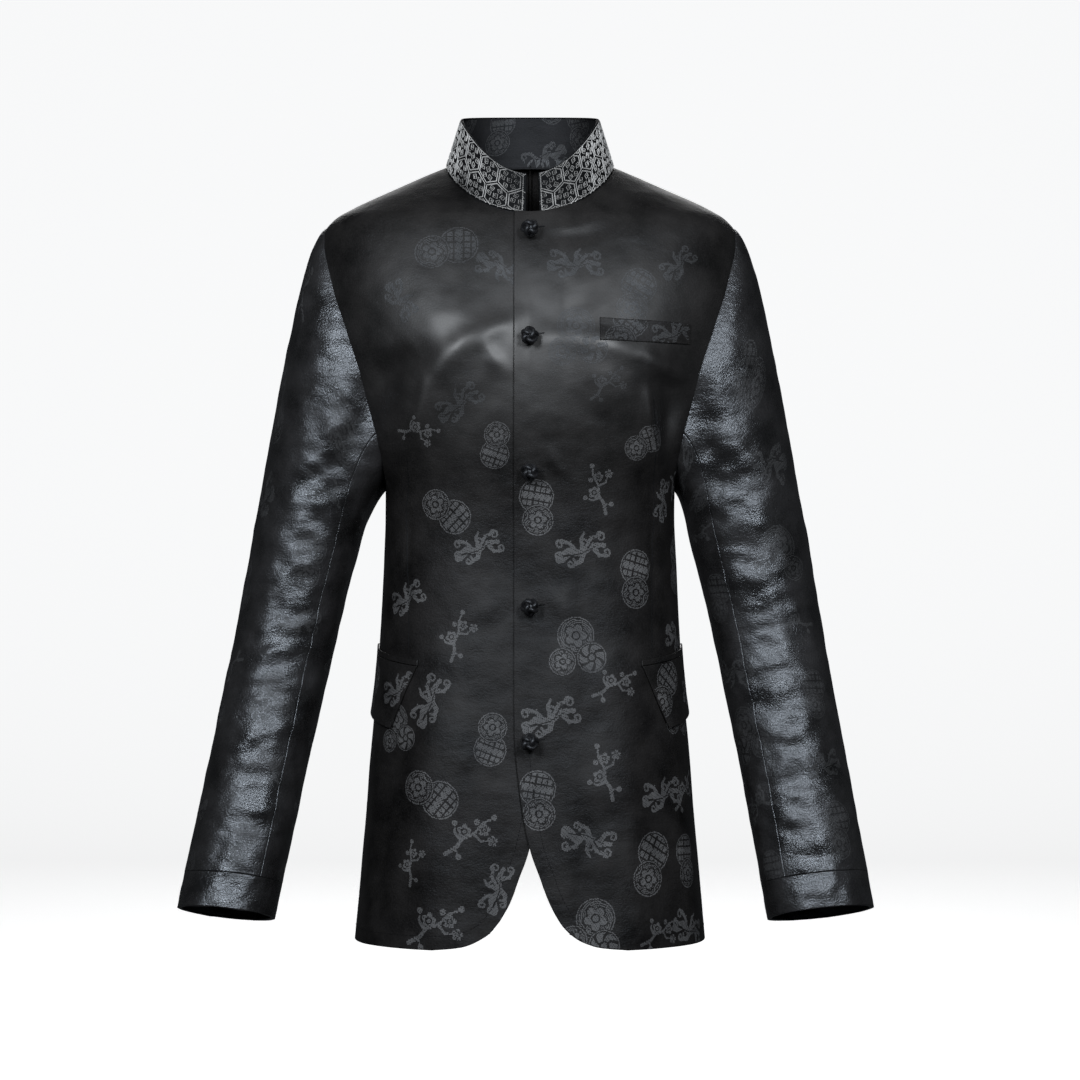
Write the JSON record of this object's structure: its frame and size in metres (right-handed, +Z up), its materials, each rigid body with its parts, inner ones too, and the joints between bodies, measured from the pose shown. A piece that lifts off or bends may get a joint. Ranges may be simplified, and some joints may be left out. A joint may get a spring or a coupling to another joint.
{
  "type": "tang jacket",
  "caption": "Tang jacket shown worn and empty: stand collar with embroidery, knotted button front, two-piece sleeves, flap pockets.",
  "frame": {"origin": "the middle of the neck, level with the high points of the two shoulders", "axes": "+Z up, the front faces -Y, +X is the wearer's left"},
  "size_m": [0.6158, 0.2446, 0.7434],
  "materials": {
    "cloth": "satin",
    "collar": "satin",
    "facing": "satin",
    "cord": "matte"
  },
  "bodies": {
    "root": {"front_left": "cloth", "back_left": "cloth", "sleeve_upper_left": "cloth", "sleeve_under_left": "cloth", "cuff_left": "cloth", "pocket_jet_left": "cloth", "pocket_flap_left": "cloth", "front_right": "cloth", "back_right": "cloth", "sleeve_upper_right": "cloth", "sleeve_under_right": "cloth", "cuff_right": "cloth", "pocket_jet_right": "cloth", "pocket_flap_right": "cloth", "breast_welt": "cloth", "collar_outer": "collar", "collar_inner": "facing", "button_1": "cord", "button_2": "cord", "button_3": "cord", "button_4": "cord", "button_5": "cord"}
  },
  "joints": []
}
